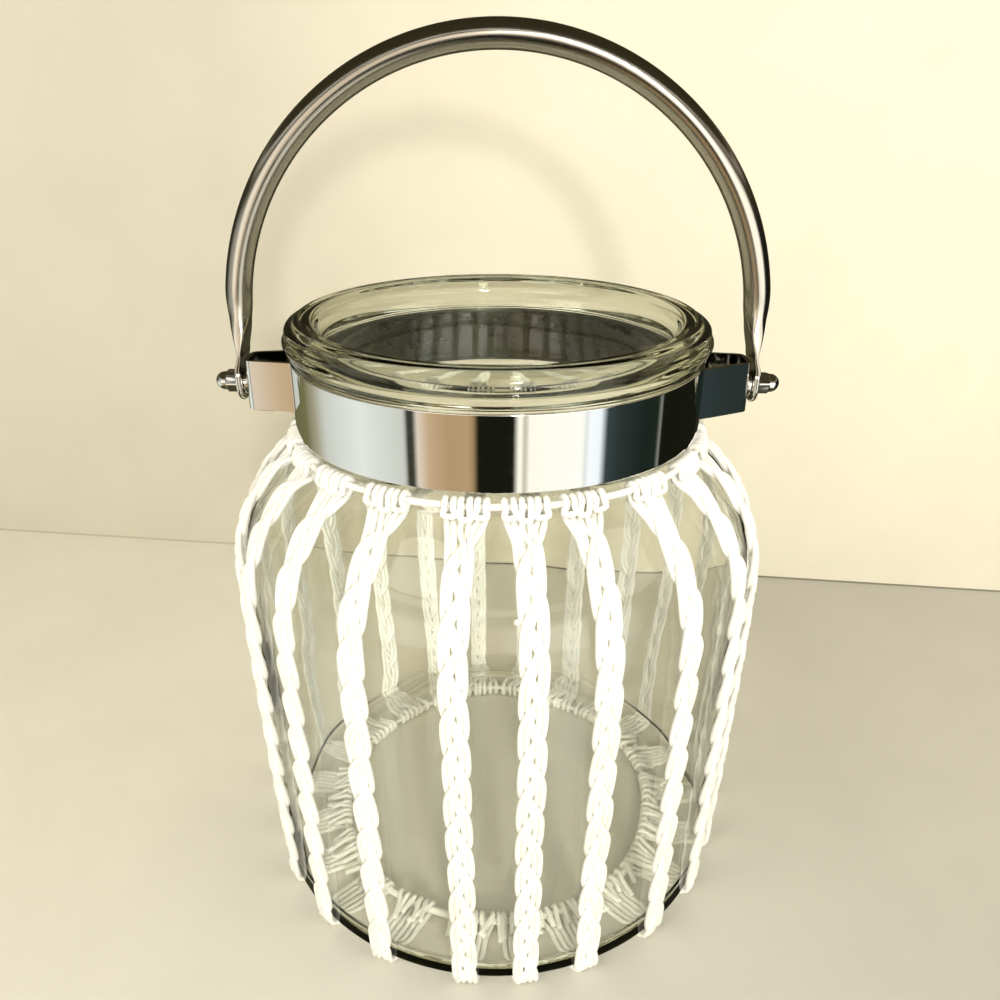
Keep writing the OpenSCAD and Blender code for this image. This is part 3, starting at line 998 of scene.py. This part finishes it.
def build_backdrop():
    """A pale table and a wall close behind it. A view from behind passes through the wall."""
    table_mat = plain_material("table_paint", (0.66, 0.635, 0.555), 0.7, 1.19, 1.02, 0.83)
    wall_mat = plain_material("wall_paint", (0.66, 0.62, 0.505), 0.8, 0.92, 1.15, 1.23, True)
    wall_y, slant, reach, front, top = 240.0, -0.117, 2500.0, -420.0, 900.0
    left = (-reach, wall_y - slant * reach)
    right = (reach, wall_y + slant * reach)
    table = np.array([(-reach, front, 0), (reach, front, 0), (*right, 0), (*left, 0)])
    wall = np.array([(*left, 0), (*right, 0), (*right, top), (*left, top)])
    # a narrow dark strip at the foot of the wall, named gap: painted shade in the joint between the table
    # and the wall
    joint_shade_mat = plain_material("joint_painted_shade", (0.16, 0.15, 0.11), 0.8, 3.0, 1.2, 1.6, True)
    shade_strip_h, in_front = 1.4, 0.3
    gap = wall - [0, in_front, 0]
    gap[2:, 2] = shade_strip_h
    for name, verts, mat in (("table", table, table_mat), ("wall", wall, wall_mat), ("gap", gap, joint_shade_mat)):
        ob = make_object(name, verts, [(0, 1, 2, 3)], mat, smooth=False)
        ob.visible_glossy = False


def build_world():
    """Pale behind the object. Reflections see a dark room with a window and a few lit panels."""
    world = bpy.data.worlds.new("studio")
    bpy.context.scene.world = world
    world.use_nodes = True
    tree = world.node_tree
    tree.nodes.clear()
    out = tree.nodes.new("ShaderNodeOutputWorld")
    plain = tree.nodes.new("ShaderNodeBackground")
    studio = tree.nodes.new("ShaderNodeBackground")
    coords = tree.nodes.new("ShaderNodeTexCoord").outputs["Generated"]
    split = tree.nodes.new("ShaderNodeSeparateXYZ")
    tree.links.new(coords, split.inputs[0])
    up = split.outputs["Z"]
    # turn round the object: 0.5 towards the front, more to the right
    forwards = math_node(tree, "MULTIPLY", split.outputs["Y"], -1.0)
    angle = math_node(tree, "ARCTAN2", split.outputs["X"], forwards)
    turn = math_node(tree, "MULTIPLY_ADD", angle, 1 / TAU, 0.5)
    black, dark = (0.010, 0.011, 0.006, 1), (0.014, 0.014, 0.012, 1)
    olive, silver, cream = (0.10, 0.09, 0.05, 1), (0.73, 0.76, 0.70, 1), (1.25, 1.23, 1.08, 1)
    # what shows in the band: a window, wooden panels, a dark doorway and dark curtains
    low = ramp(tree, turn, [
        (0.00, olive), (0.14, (0.20, 0.19, 0.09, 1)), (0.177, (0.45, 0.43, 0.31, 1)), (0.205, silver),
        (0.285, (0.95, 1.02, 0.96, 1)), (0.3625, silver), (0.3645, (0.05, 0.05, 0.04, 1)),
        (0.378, (0.06, 0.06, 0.045, 1)), (0.380, (0.95, 0.87, 0.75, 1)), (0.387, (0.86, 0.72, 0.57, 1)),
        (0.400, (0.68, 0.50, 0.30, 1)), (0.43, (0.55, 0.39, 0.21, 1)), (0.457, (0.58, 0.41, 0.22, 1)),
        (0.467, (0.40, 0.28, 0.14, 1)), (0.4705, black), (0.5265, black), (0.5285, cream), (0.535, cream),
        (0.5405, (0.50, 0.45, 0.31, 1)), (0.546, cream), (0.628, (1.25, 1.26, 1.20, 1)),
        (0.634, (0.85, 0.90, 0.90, 1)), (0.638, (1.20, 1.26, 1.30, 1)), (0.656, (1.10, 1.20, 1.28, 1)),
        (0.667, (0.050, 0.070, 0.075, 1)), (0.69, (0.030, 0.044, 0.042, 1)),
        (0.74, (0.014, 0.022, 0.018, 1)), (0.7685, (0.016, 0.025, 0.018, 1)),
        (0.772, (0.40, 0.42, 0.37, 1)), (0.777, black), (0.90, black), (1.00, olive)])
    # what shows in the brackets, nuts and handle
    mid = ramp(tree, turn, [
        (0.00, (0.06, 0.05, 0.03, 1)), (0.10, (0.05, 0.045, 0.03, 1)), (0.22, (0.06, 0.055, 0.04, 1)),
        (0.27, (0.45, 0.44, 0.40, 1)), (0.36, (0.80, 0.77, 0.70, 1)), (0.395, (2.00, 1.92, 1.75, 1)),
        (0.44, (1.90, 1.75, 1.50, 1)), (0.475, (1.20, 1.02, 0.82, 1)), (0.50, (1.30, 1.12, 0.92, 1)),
        (0.525, (2.40, 2.32, 2.15, 1)), (0.645, (2.30, 2.25, 2.10, 1)), (0.675, dark), (0.80, dark),
        (0.86, (0.05, 0.045, 0.025, 1)), (1.00, (0.06, 0.05, 0.03, 1))])
    # a row of lit panels higher up, for the highlight along the handle's crown
    strip = ramp(tree, turn, [
        (0.00, (0.05, 0.04, 0.02, 1)), (0.22, (0.30, 0.27, 0.2, 1)), (0.36, (1.1, 1.08, 1.0, 1)),
        (0.55, (1.3, 1.28, 1.2, 1)), (0.62, (0.55, 0.47, 0.40, 1)), (0.82, (0.40, 0.34, 0.28, 1)),
        (0.90, (0.05, 0.04, 0.02, 1)), (1.00, (0.05, 0.04, 0.02, 1))])
    ceiling = (0.055, 0.048, 0.022, 1)
    ground = (0.07, 0.065, 0.035, 1)
    around = blend_colours(tree, step_up(tree, up, -0.235, -0.175), low, mid)
    around = blend_colours(tree, step_up(tree, up, 0.10, 0.28), around, ceiling)
    in_strip = math_node(tree, "SUBTRACT", step_up(tree, up, 0.33, 0.36), step_up(tree, up, 0.42, 0.45))
    around = blend_colours(tree, in_strip, around, strip)
    around = blend_colours(tree, step_up(tree, up, -0.62, -0.80), around, ground)
    tree.links.new(around, studio.inputs["Color"])
    # everything but reflections: pale behind, the same room in front, a dim ceiling
    behind = step_up(tree, split.outputs["Y"], -0.05, 0.15)
    soft = blend_colours(tree, 0.35, around, (0.80, 0.76, 0.64, 1))
    pale = (0.80, 0.75, 0.60, 1)
    view = blend_colours(tree, behind, soft, pale)
    view = blend_colours(tree, step_up(tree, up, 0.45, 0.75), view, (0.42, 0.40, 0.30, 1))
    tree.links.new(view, plain.inputs["Color"])
    path = tree.nodes.new("ShaderNodeLightPath")
    pick = tree.nodes.new("ShaderNodeMixShader")
    tree.links.new(path.outputs["Is Glossy Ray"], pick.inputs[0])
    tree.links.new(plain.outputs[0], pick.inputs[1])
    tree.links.new(studio.outputs[0], pick.inputs[2])
    tree.links.new(pick.outputs[0], out.inputs["Surface"])


def area_light(name, location, size, power, colour):
    """A round soft light aimed at the lantern's middle."""
    data = bpy.data.lights.new(name, "AREA")
    data.shape = "DISK"
    data.size = size
    data.energy = power
    data.color = colour
    ob = bpy.data.objects.new(name, data)
    bpy.context.scene.collection.objects.link(ob)
    ob.location = location
    aim = Vector((0, 0, LIGHTS_AIM_Z)) - Vector(location)
    ob.rotation_euler = aim.to_track_quat("-Z", "Y").to_euler()
    return ob


def build_camera():
    """A camera at the height of the handle, close in front and looking down."""
    data = bpy.data.cameras.new("camera")
    data.sensor_width = SENSOR
    data.lens = FOCAL_SHARE * SENSOR
    data.clip_start = 0.01
    cam = bpy.data.objects.new("camera", data)
    bpy.context.scene.collection.objects.link(cam)
    cam.location = CAMERA_AT
    cam.rotation_euler = (math.radians(90 - CAMERA_DOWN), 0, 0)
    cam.rotation_euler.rotate_axis("Z", CAMERA_ROLL)
    bpy.context.scene.camera = cam


build_backdrop()
build_world()
area_light("window", (0.26, -1.50, 0.55), 0.16, 10.5, (1.0, 0.98, 0.93))
key = area_light("key", (-0.75, -0.85, 1.25), 1.0, 10.0, (1.0, 0.97, 0.90))
key.visible_glossy = False
fill = area_light("fill", (0.9, -0.5, 0.9), 0.9, 5.0, (1.0, 0.98, 0.94))
fill.visible_glossy = False
build_camera()
bpy.context.scene.view_settings.view_transform = "Standard"
